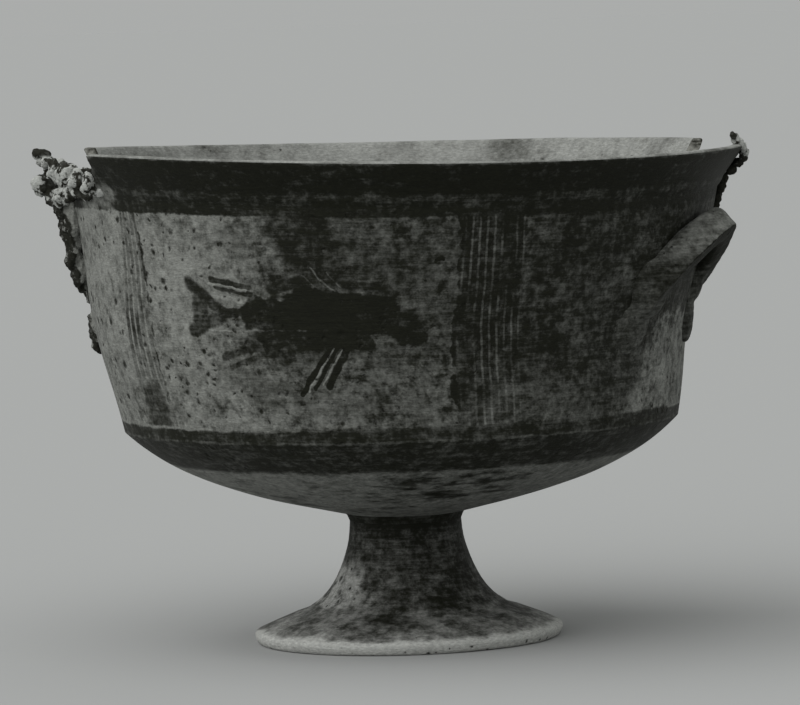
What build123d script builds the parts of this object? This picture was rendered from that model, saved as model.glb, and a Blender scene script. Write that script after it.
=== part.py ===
"""Pedestalled drinking cup of painted clay: a keeled bowl on a hollow trumpet foot.

Millimetres and degrees. The origin is the centre of the foot on the table, and +Z is up.
The whole handle is at +X, the stumps of the broken one are at -X, and the front faces -Y.
A bearing is an angle round +Z, 0 at the front (-Y) and 90 at the whole handle (+X).
"""
from build123d import *
import math
import os

# Bowl
rim_radius = 136.2  # to the sharp corner, before it is rounded
rim_height = 187.0
rim_width = 6.0
rim_rounding = 1.3
lip_height = 12.3  # from the small ridge under the lip up to the rim
lip_flare = 9.8  # how far the rim stands out past the ridge
lip_hollow = 0.5  # how far the lip's outside is drawn in
ridge_drop = 3.9  # from the ridge down to the neck, the top of the wall
ridge_width = 2.4  # how far the ridge stands out past the neck
ridge_radius = rim_radius - lip_flare
ridge_height = rim_height - lip_height
neck_radius = ridge_radius - ridge_width
neck_height = ridge_height - ridge_drop
keel_radius = 106.5
keel_height = 84.0
wall = 5.0
floor_thickness = 7.2

# Underside of the bowl, as a curve from the keel to the stem
keel_fall = 45.0
keel_pull = 24.0
seat_fall = 12.5
seat_pull = 45.0
inside_floor_pull = 50.0

# Stem and foot
stem_radius = 21.5
stem_height = 48.8  # top of the stem, where the bowl sits
waist_pull = 17.0
step_radius = 37.0  # where the stem meets the disc of the foot
step_height = 13.8
step_fall = 36.0
step_pull = 14.0
foot_radius = 59.4
foot_edge = 3.5
foot_edge_slant = 1.4
foot_rounding = 2.6
foot_bulge = 0.9
resting_ring_width = 4.5
hollow_height = 39.0
hollow_disc_pull = 22.5
hollow_disc_rise = 6.9
hollow_top_pull = 12.0

# Clay round the stem joint
joint_width = 3.0
joint_height = 3.0
joint_hollow = 0.6
joint_bite = 0.5  # how far the ring runs into the bowl before it is trimmed

# Handles
handle_drop = 32.8  # from the neck down to the middle of the roots
handle_half_span = 29.5
handle_reach = 28.5
handle_rise = 54.0
broken_handle_drop = 31.8
broken_handle_rise = 66.0
bar_width = 12.5
bar_rounding = 2.2
half_turn = 180
root_inset = 12.0  # how far the bar is drawn into the wall before it is trimmed
root_clay_radius = 10.5  # where the clay meets the wall
root_clay_sink = 4.0  # how far its wide end is drawn into the wall before it is trimmed
root_clay_drop = 2.0
root_clay_waist = 8.2
root_clay_waist_at = 3.5
root_clay_length = 11.0
root_clay_fit = 0.15  # how much wider the clay is than the bar at its thin end

# Broken edges: bearing, then how far the break lies below the rim
left_break = [(-47, -3), (-49, 9), (-55, 13), (-61, 10), (-67, 14), (-74, 12), (-81, 14.5),
              (-87, 11), (-93, 13), (-97, 8), (-99, -3)]
right_break = [(96, -3), (98, 7), (104, 11), (111, 9), (118, 13), (125, 10), (132, 12),
               (137, 6), (140, -3)]
break_reach = 40.0

# Where the broken handle ends, in its own plane: along the wall, then up the slope
stub_edge_near = [(-9, 12), (-11, 17), (-8, 21), (-7, 26), (-3, 29), (-5, 33), (-2, 42)]
stub_edge_far = [(46, 42), (46, 10), (36, 7), (32, 10), (27, 6), (23, 9), (13, 7)]

# Pale lumps on the broken lip: bearing, how far out from the lip, how far below the rim, size
left_lumps = [(-49.5, -1.6, 9.5, 4.8), (-54, -1.5, 11.5, 6.5), (-60, -2.9, 8.5, 7.2),
              (-65, 1.7, 10.5, 6.0), (-68, 0.1, 6, 7.0), (-71.5, 6.8, 7.5, 5.6),
              (-73, -4.9, 1, 5.2), (-75, -0.2, 10, 7.8), (-80.5, -0.4, 11, 6.9),
              (-85, -3.4, 8.5, 6.0), (-90, -2.8, 10.5, 7.0), (-95.5, -2.6, 9.5, 6.1)]
right_lumps = [(98, -3.1, 4.5, 5.0), (101.5, -2.8, 8, 5.4)]
lump_bevel = 0.55  # of a lump's size
splinter_bearing = 97.5
splinter_base = 2.6
splinter_tip = 0.6
splinter_height = 12.0


def polar(length, angle):
    """A step of this length at this angle in the profile plane."""
    return length * math.cos(math.radians(angle)), length * math.sin(math.radians(angle))


def turned(lines):
    """The solid swept by a closed profile, in the XZ plane, round the Z axis."""
    return revolve(make_face(lines), Axis.Z)


def at_bearing(bearing, radius, height):
    """The point at this bearing, this far from the axis."""
    angle = math.radians(bearing)
    return radius * math.sin(angle), -radius * math.cos(angle), height


def profile(pairs):
    """Radius and height pairs as points of the XZ plane."""
    return [(radius, 0, height) for radius, height in pairs]


def outside_curves():
    """The outside of the bowl, from the rim's edge to the stem's seat."""
    rim, ridge, neck, keel, seat = profile([
        (rim_radius, rim_height), (ridge_radius, ridge_height), (neck_radius, neck_height),
        (keel_radius, keel_height), (stem_radius, stem_height)])
    down, sink = polar(keel_pull, keel_fall)
    out, rise = polar(seat_pull, seat_fall)
    controls = profile([(keel_radius - down, keel_height - sink),
                        (stem_radius + out, stem_height + rise)])
    lip_middle = ((rim_radius + ridge_radius) / 2 - lip_hollow, 0, (rim_height + ridge_height) / 2)
    return [ThreePointArc(rim, lip_middle, ridge), Line(ridge, neck), Line(neck, keel),
            Bezier(keel, *controls, seat)]


def inside_curves():
    """The inside of the bowl, from the middle of the floor to the rim."""
    keel_in = (keel_radius - wall, keel_height + wall / 2)
    floor_top = stem_height + floor_thickness
    down, sink = polar(keel_pull, keel_fall)
    centre, flat, bend, keel, neck, rim = profile([
        (0, floor_top), (inside_floor_pull, floor_top), (keel_in[0] - down, keel_in[1] - sink), keel_in,
        (neck_radius - wall, neck_height), (rim_radius - rim_width, rim_height)])
    return [Bezier(centre, flat, bend, keel), Line(keel, neck), Line(neck, rim)]


def full_bowl():
    """The bowl's outer form without its hollow, used to trim what is luted to it."""
    curves = outside_curves()
    top, seat, bottom = profile([(0, rim_height), (stem_radius, stem_height), (0, stem_height)])
    return turned(curves + [Line(seat, bottom), Line(bottom, top), Line(top, curves[0] @ 0)])


def whole_bowl():
    """The bowl as it was thrown, before its lip was broken."""
    outside, inside = outside_curves(), inside_curves()
    seat, bottom = profile([(stem_radius, stem_height), (0, stem_height)])
    lines = outside + [Line(seat, bottom), Line(bottom, inside[0] @ 0)] + inside
    bowl = turned(lines + [Line(inside[-1] @ 1, outside[0] @ 0)])
    rim_edges = bowl.edges().filter_by(GeomType.CIRCLE).group_by(Axis.Z)[-1]
    sharpness = math.atan2(lip_height, lip_flare)
    return fillet(rim_edges, min(rim_rounding, rim_width / 2 * math.tan(sharpness / 2)))


def missing_lip(edge):
    """What has broken away above a ragged edge: a block driven in from outside at its middle bearing."""
    middle = (edge[0][0] + edge[-1][0]) / 2
    across = [ridge_radius * math.sin(math.radians(bearing - middle)) for bearing, _ in edge]
    outline = [(x, rim_height - drop) for x, (_, drop) in zip(across, edge)]
    above = rim_height + break_reach
    outline = [(across[0], above)] + outline + [(across[-1], above)]
    inner = ridge_radius - break_reach
    angle = math.radians(middle)
    out = Vector(math.sin(angle), -math.cos(angle), 0)
    side = Vector(math.cos(angle), math.sin(angle), 0)
    face = make_face(Plane(origin=out * inner, x_dir=side, z_dir=side.cross(Vector(0, 0, 1)))
                     * Polyline(*outline, close=True))
    return extrude(face, break_reach * 2, dir=out)


def pedestal():
    """The hollow trumpet stem and its foot, one thrown piece."""
    top_middle, top, waist = profile([(0, stem_height), (stem_radius, stem_height),
                                      (stem_radius, stem_height - waist_pull)])
    fall_in, fall_up = polar(step_pull, step_fall)
    foot_top = foot_edge + foot_rounding / 2
    above_step, step, foot_shoulder, edge_top, edge_base = profile([
        (step_radius - fall_in, step_height + fall_up), (step_radius, step_height),
        (foot_radius - foot_rounding, foot_top), (foot_radius, foot_edge),
        (foot_radius - foot_edge_slant, 0)])
    disc_middle = ((step_radius + foot_radius - foot_rounding) / 2, 0,
                   (step_height + foot_top) / 2 + foot_bulge)
    ring_inner = foot_radius - foot_edge_slant - resting_ring_width
    ring, hollow_low, hollow_high, hollow_top = profile([
        (ring_inner, 0), (ring_inner - hollow_disc_pull, hollow_disc_rise),
        (hollow_top_pull, hollow_height), (0, hollow_height)])
    return turned([
        Line(top_middle, top), Bezier(top, waist, above_step, step),
        ThreePointArc(step, disc_middle, foot_shoulder), Line(foot_shoulder, edge_top),
        Line(edge_top, edge_base), Line(edge_base, ring),
        Bezier(ring, hollow_low, hollow_high, hollow_top), Line(hollow_top, top_middle)])


def joint_clay(bowl_form, foot_form):
    """The clay ring smoothed into the corner between stem and bowl."""
    inner = stem_radius - wall / 2
    reach = stem_radius + joint_width
    below = stem_height - joint_height
    above = stem_height + joint_width * math.tan(math.radians(seat_fall)) + joint_bite
    low_in, low, high, high_in = profile([(inner, below), (stem_radius, below), (reach, above),
                                          (inner, above)])
    middle = ((stem_radius + reach) / 2 - joint_hollow, 0, (below + above) / 2 + joint_hollow)
    ring = turned([Line(low_in, low), ThreePointArc(low, middle, high), Line(high, high_in),
                   Line(high_in, low_in)])
    return ring - bowl_form - foot_form


def wall_radius(height):
    """The wall's outside radius at this height, between keel and neck."""
    share = (height - keel_height) / (neck_height - keel_height)
    return keel_radius + share * (neck_radius - keel_radius)


def handle_plane(side):
    """The tilted plane of a handle: x along the wall towards +Y, y up the slope.

    side is 1 for the whole handle and -1 for the broken one.
    """
    drop, rise = {1: (handle_drop, handle_rise), -1: (broken_handle_drop, broken_handle_rise)}[side]
    height = neck_height - drop
    root_x = math.sqrt(wall_radius(height) ** 2 - handle_half_span ** 2)
    out, up = polar(1, rise)
    slope = Vector(side * out, 0, up)
    return Plane(origin=(side * root_x, 0, height), x_dir=(0, 1, 0),
                 z_dir=Vector(0, 1, 0).cross(slope))


def across_arm(end, distance):
    """The plane square to an arm, this far from the root. end is -1 or 1 along the wall."""
    return Plane(origin=(end * handle_half_span, distance, 0), x_dir=(1, 0, 0), z_dir=(0, 1, 0))


def handle_bar(side):
    """A six-sided bar bent into a loop, its ends run into the wall."""
    half = handle_half_span
    path = Line((half, -root_inset), (half, 0)) + \
        EllipticalCenterArc((0, 0), half, handle_reach, start_angle=0, arc_size=half_turn) + \
        Line((-half, 0), (-half, -root_inset))
    section = RegularPolygon(bar_width / 2, 6, major_radius=True)
    section = fillet(section.vertices(), min(bar_rounding, bar_width / 4))
    return handle_plane(side) * sweep(across_arm(1, -root_inset) * section, path=path)


def root_clay(side):
    """Two flared collars of clay smoothed from a handle's roots out on to the wall."""
    along, arm = handle_plane(side).x_dir, handle_plane(side).y_dir
    collars = []
    for end in (-1, 1):
        root = handle_plane(side).from_local_coords(Vector(end * handle_half_span, 0, 0))
        radial = Vector(root.X, root.Y, 0).normalized()
        low = root - radial * root_clay_sink - Vector(0, 0, root_clay_drop)
        lean = (radial + arm).normalized()
        base = Plane(origin=low, x_dir=along, z_dir=radial)
        waist = Plane(origin=root + lean * root_clay_waist_at, x_dir=along, z_dir=lean)
        neck = Plane(origin=root + arm * root_clay_length, x_dir=along, z_dir=arm)
        rings = [base * Circle(root_clay_radius), waist * Circle(root_clay_waist),
                 neck * Circle(bar_width / 2 + root_clay_fit)]
        collars.append(loft(rings, ruled=True))
    return collars


def broken_off(side):
    """The part of a handle that is gone, with its clay: all between the two ragged ends."""
    edge = [(stub_edge_near[0][0], -root_inset)] + stub_edge_near + stub_edge_far
    edge.append((stub_edge_far[-1][0], -root_inset))
    face = handle_plane(side) * make_face(Polyline(*edge, close=True))
    return extrude(face, bar_width, both=True)


def lump(bearing, out, drop, size):
    """A many-sided stone by the lip's outside, this far from its middle to its flats."""
    radius = rim_radius + out - lip_flare * drop / lip_height
    place = Pos(*at_bearing(bearing, radius, rim_height - drop))
    block = Box(2 * size, 2 * size, 2 * size)
    return place * Rot(3 * bearing, 7 * drop, bearing) * chamfer(block.edges(), size * lump_bevel)


def joined(shapes):
    """The shapes fused into one."""
    whole = shapes[0]
    for shape in shapes[1:]:
        whole = whole + shape
    return whole


def crust(lumps):
    """A row of balls fused into one rough mass."""
    return joined([lump(*one) for one in lumps])


def splinter():
    """The thin upright sliver at the right end of the lip."""
    x, y, z = at_bearing(splinter_bearing, rim_radius - rim_width, rim_height - wall)
    return Pos(x, y, z + splinter_height / 2) * Cone(splinter_base, splinter_tip, splinter_height)


def build():
    """Every node by name, trimmed so that neighbours meet face to face."""
    bowl_form = full_bowl()
    foot_form = pedestal()
    bowl = whole_bowl() - missing_lip(left_break) - missing_lip(right_break)
    gone = broken_off(-1)
    whole_handle = handle_bar(1) - bowl_form
    broken_handle = handle_bar(-1) - bowl_form - gone
    whole_clay = joined([collar - bowl_form - whole_handle for collar in root_clay(1)])
    broken_clay = joined([collar - bowl_form - broken_handle - gone for collar in root_clay(-1)])
    return {
        "bowl": bowl,
        "pedestal_foot": foot_form,
        "stem_joint_clay": joint_clay(bowl_form, foot_form),
        "right_handle": whole_handle,
        "right_handle_root_clay": whole_clay,
        "left_handle_stubs": broken_handle,
        "left_handle_root_clay": broken_clay,
        "left_rim_crust": crust(left_lumps) - bowl,
        "right_rim_crust": crust(right_lumps) + splinter() - bowl,
    }


os.makedirs("parts", exist_ok=True)
for name, shape in build().items():
    shape.label = name
    export_step(shape, f"parts/{name}.step")
    print(name, len(shape.solids()), round(shape.volume))
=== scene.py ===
import bpy
import math
from mathutils import Matrix, Quaternion, Vector


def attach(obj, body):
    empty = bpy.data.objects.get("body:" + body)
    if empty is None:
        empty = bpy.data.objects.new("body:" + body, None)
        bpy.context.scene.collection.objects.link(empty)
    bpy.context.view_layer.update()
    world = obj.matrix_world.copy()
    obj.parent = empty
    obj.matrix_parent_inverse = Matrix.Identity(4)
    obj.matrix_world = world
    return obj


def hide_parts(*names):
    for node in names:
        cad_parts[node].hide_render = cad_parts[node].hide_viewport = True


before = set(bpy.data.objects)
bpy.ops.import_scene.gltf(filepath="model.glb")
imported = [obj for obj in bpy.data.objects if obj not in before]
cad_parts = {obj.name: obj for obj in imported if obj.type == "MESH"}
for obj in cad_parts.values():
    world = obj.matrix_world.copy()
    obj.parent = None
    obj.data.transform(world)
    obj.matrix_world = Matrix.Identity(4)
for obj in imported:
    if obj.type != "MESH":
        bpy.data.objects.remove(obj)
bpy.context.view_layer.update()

# Camera. The cup stood on the ground and was taken from 2 m away with a long lens, a little above
# the height of its handles. The print is tipped by two degrees.
view_bearing = math.radians(20)
camera_back, camera_height = 2.0, 0.238
dip = math.atan(331.5 / 5200)
bpy.ops.object.camera_add(location=(camera_back * math.sin(view_bearing),
                                    -camera_back * math.cos(view_bearing), camera_height))
camera = bpy.context.object
camera.name = "camera"
camera.rotation_mode = "QUATERNION"
line_of_sight = Vector((-math.sin(view_bearing) * math.cos(dip),
                        math.cos(view_bearing) * math.cos(dip), -math.sin(dip)))
camera.rotation_quaternion = (line_of_sight.to_track_quat("-Z", "Y")
                              @ Quaternion((0, 0, 1), math.radians(-1.9)))
camera.data.lens = 234
camera.data.sensor_width = 36
camera.data.clip_end = 2000
bpy.context.scene.camera = camera
bpy.context.scene.view_settings.view_transform = "Standard"


# Bowl, thrown on a wheel in one piece from coarse brown clay and turned thin while it spun. The
# wall grows thinner upwards to a small ridge, above which the lip flares. It sagged a little in
# the kiln, so the rim leans and the wall under the whole handle is pushed in.
bowl_turns = 400
stem_top, keel_height, rim_height = 0.0488, 0.084, 0.187


def bend(ends, pulls, count):
    """Points along a smooth curve from one end to the other, drawn by two pulls, ends left out."""
    (a, d), (b, c) = ends, pulls
    points = []
    for i in range(1, count):
        t = i / count
        points.append(tuple((1 - t) ** 3 * a[k] + 3 * (1 - t) ** 2 * t * b[k]
                            + 3 * (1 - t) * t * t * c[k] + t ** 3 * d[k] for k in (0, 1)))
    return points


def straight(start, end, count):
    """Evenly spaced points of a straight line, ends left out."""
    return [(start[0] + (end[0] - start[0]) * i / count, start[1] + (end[1] - start[1]) * i / count)
            for i in range(1, count)]


def thrown(name, outline, turns):
    """Draws an outline up the wheel's axis and spins it into a solid of clay."""
    bpy.ops.object.select_all(action="DESELECT")
    bpy.ops.mesh.primitive_plane_add(size=0.001)
    pot = bpy.context.object
    pot.name = name
    bpy.ops.object.mode_set(mode="EDIT")
    bpy.ops.mesh.merge(type="CENTER")
    bpy.ops.transform.translate(value=(outline[0][0], 0, outline[0][1]))
    for (r0, z0), (r1, z1) in zip(outline, outline[1:]):
        bpy.ops.mesh.extrude_vertices_move(TRANSFORM_OT_translate={"value": (r1 - r0, 0, z1 - z0)})
    bpy.ops.mesh.select_all(action="SELECT")
    bpy.ops.mesh.spin(steps=turns, angle=2 * math.pi, center=(0, 0, 0), axis=(0, 0, 1))
    bpy.ops.mesh.select_all(action="SELECT")
    bpy.ops.mesh.remove_doubles(threshold=0.00001)
    bpy.ops.mesh.normals_make_consistent(inside=False)
    bpy.ops.object.mode_set(mode="OBJECT")
    return pot


def settle(piece):
    """Puts a finished piece's place into its mesh, so that its object sits at the origin."""
    bpy.ops.object.select_all(action="DESELECT")
    piece.select_set(True)
    bpy.context.view_layer.objects.active = piece
    bpy.ops.object.transform_apply(location=True, rotation=True, scale=True)


def sag(piece):
    """Leans the rim and dents the wall, as the kiln did. All in metres."""
    across = Vector((math.cos(view_bearing), math.sin(view_bearing), 0))
    away = Vector((-math.sin(view_bearing), math.cos(view_bearing), 0))
    dent_depth, dent_height, dent_spread = 0.0028, 0.122, 0.024
    for corner in piece.data.vertices:
        place = corner.co
        height = place.z
        rise = max(0.0, (height - keel_height) / (rim_height - keel_height))
        side, back = place.dot(across), place.dot(away)
        lift = rise * (0.0014 + 0.0045 * back - 0.0222 * side + 0.12 * side * side
                       + 0.082 * side * back)
        push = -dent_depth * math.exp(-((height - dent_height) / dent_spread) ** 2)
        corner.co = place + across * push + Vector((0, 0, lift))


def textured(piece, kind, size, strength, middle=0.5, depth=2):
    """Roughens a piece's surface by a clouded or cracked texture and applies it."""
    grain = bpy.data.textures.new(piece.name + "_grain", kind)
    grain.noise_scale = size
    if kind == "CLOUDS":
        grain.noise_depth = depth
    push = piece.modifiers.new("grain", "DISPLACE")
    push.texture = grain
    push.texture_coords = "LOCAL"
    push.strength = strength
    push.mid_level = middle
    bpy.context.view_layer.objects.active = piece
    bpy.ops.object.modifier_apply(modifier=push.name)


def joined(tree, socket, value):
    """Links a socket to another, or gives it a plain value."""
    if isinstance(value, bpy.types.NodeSocket):
        tree.links.new(value, socket)
    elif value is not None:
        socket.default_value = value


def sum_of(tree, operation, *parts):
    """One step of arithmetic between nodes."""
    step = tree.nodes.new("ShaderNodeMath")
    step.operation = operation
    for socket, part in zip(step.inputs, parts):
        joined(tree, socket, part)
    return step.outputs[0]


def plus(tree, *parts):
    """The sum of several values."""
    whole = parts[0]
    for part in parts[1:]:
        whole = sum_of(tree, "ADD", whole, part)
    return whole


def times(tree, *parts):
    """The product of several values."""
    whole = parts[0]
    for part in parts[1:]:
        whole = sum_of(tree, "MULTIPLY", whole, part)
    return whole


def minus(tree, first, second):
    """The first value less the second."""
    return sum_of(tree, "SUBTRACT", first, second)


def swapped(tree, share, first, second):
    """Goes from the first value to the second as the share goes from 0 to 1."""
    return plus(tree, times(tree, first, minus(tree, 1.0, share)), times(tree, second, share))


def swing(tree, noise, breadth):
    """Turns a noise round 0.5 into one round 0, this broad."""
    return times(tree, minus(tree, noise, 0.5), breadth)


def moved(tree, operation, *parts):
    """One step of arithmetic on points, by the point or the number it gives."""
    step = tree.nodes.new("ShaderNodeVectorMath")
    step.operation = operation
    slots = [step.inputs[0], step.inputs[3] if operation == "SCALE" else step.inputs[1]]
    for socket, part in zip(slots, parts):
        joined(tree, socket, part)
    return step.outputs["Value" if operation in ("DOT_PRODUCT", "LENGTH") else "Vector"]


def fade(tree, value, start, end, low=0.0, high=1.0):
    """Goes softly from low to high while the value goes from start to end."""
    step = tree.nodes.new("ShaderNodeMapRange")
    step.interpolation_type = "SMOOTHSTEP"
    for socket, part in zip(step.inputs, (value, start, end, low, high)):
        joined(tree, socket, part)
    return step.outputs[0]


def cloud(tree, point, scale, detail=3.0, roughness=0.55, stretch=None):
    """Soft cloudy variation between 0 and 1, stretched along each axis."""
    if stretch:
        point = moved(tree, "MULTIPLY", point, stretch)
    step = tree.nodes.new("ShaderNodeTexNoise")
    joined(tree, step.inputs["Vector"], point)
    step.inputs["Scale"].default_value = scale
    step.inputs["Detail"].default_value = detail
    step.inputs["Roughness"].default_value = roughness
    return step.outputs[0]


def colours(tree, share, first, second, kind="MIX"):
    """Mixes two colours."""
    step = tree.nodes.new("ShaderNodeMix")
    step.data_type = "RGBA"
    step.blend_type = kind
    joined(tree, step.inputs[0], share)
    for socket, part in ((step.inputs[6], first), (step.inputs[7], second)):
        joined(tree, socket, part if isinstance(part, bpy.types.NodeSocket) else (*part, 1))
    return step.outputs[2]


def recipe(name, takes, gives):
    """An effect that several finishes share, as a node group with named inputs and outputs."""
    group = bpy.data.node_groups.new(name, "ShaderNodeTree")
    for label, kind, start in takes:
        socket = group.interface.new_socket(label, in_out="INPUT", socket_type="NodeSocket" + kind)
        socket.default_value = start
    for label, kind in gives:
        group.interface.new_socket(label, in_out="OUTPUT", socket_type="NodeSocket" + kind)
    start, end = group.nodes.new("NodeGroupInput"), group.nodes.new("NodeGroupOutput")
    return group, start.outputs, end.inputs


def apply_recipe(tree, group, **values):
    """Places a shared effect in a finish with its own values."""
    step = tree.nodes.new("ShaderNodeGroup")
    step.node_tree = group
    for label, value in values.items():
        joined(tree, step.inputs[label], value)
    return step.outputs


zero = (0.0, 0.0, 0.0)
pot_place, took, gave = recipe(
    "place_on_the_pot", [("Point", "Vector", zero)],
    [("Turned", "Float"), ("Bearing", "Float"), ("Height", "Float"), ("Wall", "Vector")])
tree = pot_place
split = tree.nodes.new("ShaderNodeSeparateXYZ")
joined(tree, split.inputs[0], took["Point"])
towards_front = times(tree, split.outputs[1], -1.0)
turned = sum_of(tree, "DEGREES", sum_of(tree, "ARCTAN2", split.outputs[0], towards_front))
bearing = minus(tree, sum_of(tree, "FLOORED_MODULO", plus(tree, turned, 90.0), 180.0), 90.0)
height = times(tree, split.outputs[2], 1000.0)
flat = tree.nodes.new("ShaderNodeCombineXYZ")
joined(tree, flat.inputs[0], times(tree, bearing, 2.0))
joined(tree, flat.inputs[1], height)
joined(tree, gave["Turned"], turned)
joined(tree, gave["Bearing"], bearing)
joined(tree, gave["Height"], height)
joined(tree, gave["Wall"], flat.outputs[0])

brush_stroke, took, gave = recipe(
    "brush_stroke", [("Wall", "Vector", zero), ("Start", "Vector", zero), ("End", "Vector", zero),
                     ("Half width", "Float", 1.0), ("Softness", "Float", 0.5),
                     ("Strength", "Float", 1.0)], [("Mask", "Float")])
tree = brush_stroke
along = moved(tree, "SUBTRACT", took["End"], took["Start"])
beside = moved(tree, "SUBTRACT", took["Wall"], took["Start"])
step = sum_of(tree, "DIVIDE", moved(tree, "DOT_PRODUCT", beside, along),
              moved(tree, "DOT_PRODUCT", along, along))
step.node.use_clamp = True
off = moved(tree, "LENGTH", moved(tree, "SUBTRACT", beside, moved(tree, "SCALE", along, step)))
joined(tree, gave["Mask"], fade(tree, minus(tree, off, took["Half width"]), took["Softness"], 0.0,
                                0.0, took["Strength"]))

pits, took, gave = recipe(
    "pits", [("Point", "Vector", zero), ("Scale", "Float", 150.0), ("Radius", "Float", 0.3),
             ("Share", "Float", 0.5)], [("Mask", "Float")])
tree = pits
cells = tree.nodes.new("ShaderNodeTexVoronoi")
joined(tree, cells.inputs["Vector"], took["Point"])
joined(tree, cells.inputs["Scale"], took["Scale"])
draw = tree.nodes.new("ShaderNodeSeparateColor")
joined(tree, draw.inputs[0], cells.outputs["Color"])
size = times(tree, took["Radius"], fade(tree, draw.outputs[1], 0.0, 1.0, 0.5, 1.3))
there = sum_of(tree, "LESS_THAN", draw.outputs[0], took["Share"])
dot = fade(tree, cells.outputs["Distance"], size, times(tree, size, 0.2))
joined(tree, gave["Mask"], times(tree, there, dot))

fired_clay, took, gave = recipe(
    "slip_over_clay", [("Point", "Vector", zero), ("Cover", "Float", 0.5), ("Wear", "Float", 0.3),
                       ("Marks", "Float", 0.3), ("Clay", "Color", (0.19, 0.19, 0.17, 1)),
                       ("Slip", "Color", (0.02, 0.02, 0.015, 1))],
    [("Color", "Color"), ("Bump", "Float"), ("Cover", "Float")])
tree = fired_clay
wheel_marks = cloud(tree, took["Point"], 60, 5, 0.75, (1, 1, 11))
mottle = cloud(tree, took["Point"], 300, 5, 0.75)
patches = cloud(tree, took["Point"], 75, 4, 0.7)
grain = cloud(tree, took["Point"], 620, 3, 0.7, (1, 1, 2.6))
ragged = swing(tree, plus(tree, times(tree, wheel_marks, 0.38), times(tree, mottle, 0.38),
                          times(tree, patches, 0.24)), 7.5)
worn = fade(tree, plus(tree, took["Cover"], times(tree, ragged, took["Wear"])), 0.0, 1.0)
fine = plus(tree, 0.3, times(tree, grain, 1.4))
lines = plus(tree, 1.0, swing(tree, wheel_marks, times(tree, took["Marks"], 3.0)))
shade = times(tree, fine, lines)
tone = tree.nodes.new("ShaderNodeCombineColor")
for socket in tone.inputs:
    joined(tree, socket, shade)
plain = colours(tree, worn, took["Clay"], took["Slip"])
joined(tree, gave["Color"], colours(tree, 1.0, plain, tone.outputs[0], "MULTIPLY"))
joined(tree, gave["Cover"], worn)
joined(tree, gave["Bump"], plus(tree, times(tree, wheel_marks, 0.6), times(tree, grain, 0.22),
                                times(tree, mottle, 0.3)))


def finish_of(name, shine=0.12):
    """A new material with its shader, its tree and the piece's own coordinates."""
    made = bpy.data.materials.new(name)
    made.use_nodes = True
    tree = made.node_tree
    shader = tree.nodes["Principled BSDF"]
    shader.inputs["Specular IOR Level"].default_value = shine
    return made, tree, shader, tree.nodes.new("ShaderNodeTexCoord").outputs["Object"]


def surfaced(tree, shader, colour, rough, bump, depth):
    """Gives the shader its colour, roughness and relief. depth is in metres."""
    joined(tree, shader.inputs["Base Color"], colour)
    joined(tree, shader.inputs["Roughness"], rough)
    relief = tree.nodes.new("ShaderNodeBump")
    relief.inputs["Distance"].default_value = depth
    joined(tree, relief.inputs["Height"], bump)
    joined(tree, shader.inputs["Normal"], relief.outputs[0])


def wheel_point(tree):
    """Where a point of the bowl was on the wheel, before the kiln moved it."""
    kept = tree.nodes.new("ShaderNodeAttribute")
    kept.attribute_name = "on_the_wheel"
    return kept.outputs["Vector"]


def drift(tree, point, scale):
    """Pushes a point about by up to half a unit each way."""
    noise = tree.nodes.new("ShaderNodeTexNoise")
    noise.inputs["Scale"].default_value = scale
    joined(tree, noise.inputs["Vector"], point)
    return moved(tree, "SUBTRACT", noise.outputs["Color"], (0.5, 0.5, 0.5))


def all_of(tree, masks):
    """The strongest of several masks."""
    whole = masks[0]
    for mask in masks[1:]:
        whole = sum_of(tree, "MAXIMUM", whole, mask)
    return whole


def painted(tree, wall, strokes):
    """Brush strokes from (bearing, height) to (bearing, height): half width, softness, strength."""
    return all_of(tree, [
        apply_recipe(tree, brush_stroke, Wall=wall, Start=(a * 2.0, b, 0), End=(c * 2.0, d, 0),
                     **{"Half width": wide, "Softness": soft, "Strength": strong})["Mask"]
        for (a, b), (c, d), wide, soft, strong in strokes])


def line_group(tree, left_top, left_foot, right_top, right_foot, count, thin):
    """Ruled lines down the wall between two leaning edges, as (inside, lines)."""
    fall = fade(tree, height, 168.0, 88.0)
    fall.node.interpolation_type = "LINEAR"
    at = plus(tree, bearing, swing(tree, cloud(tree, where["Wall"], 0.03, 2), 1.6))
    left = plus(tree, left_top, times(tree, fall, left_foot - left_top))
    breadth = plus(tree, right_top - left_top,
                   times(tree, fall, (right_foot - left_foot) - (right_top - left_top)))
    share = sum_of(tree, "DIVIDE", minus(tree, at, left), breadth)
    inside = times(tree, fade(tree, share, -0.08, 0.02), fade(tree, share, 1.08, 0.98))
    saw = sum_of(tree, "PINGPONG", times(tree, share, float(count)), 0.5)
    return inside, fade(tree, saw, thin, thin * 0.45)


def banded(tree, level_now, below, edges):
    """Changes the cover at each (height, cover, softness) going up the pot."""
    whole = below
    for level, amount, soft in edges:
        whole = swapped(tree, fade(tree, level_now, level - soft, level + soft), whole, amount)
    return whole


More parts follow.
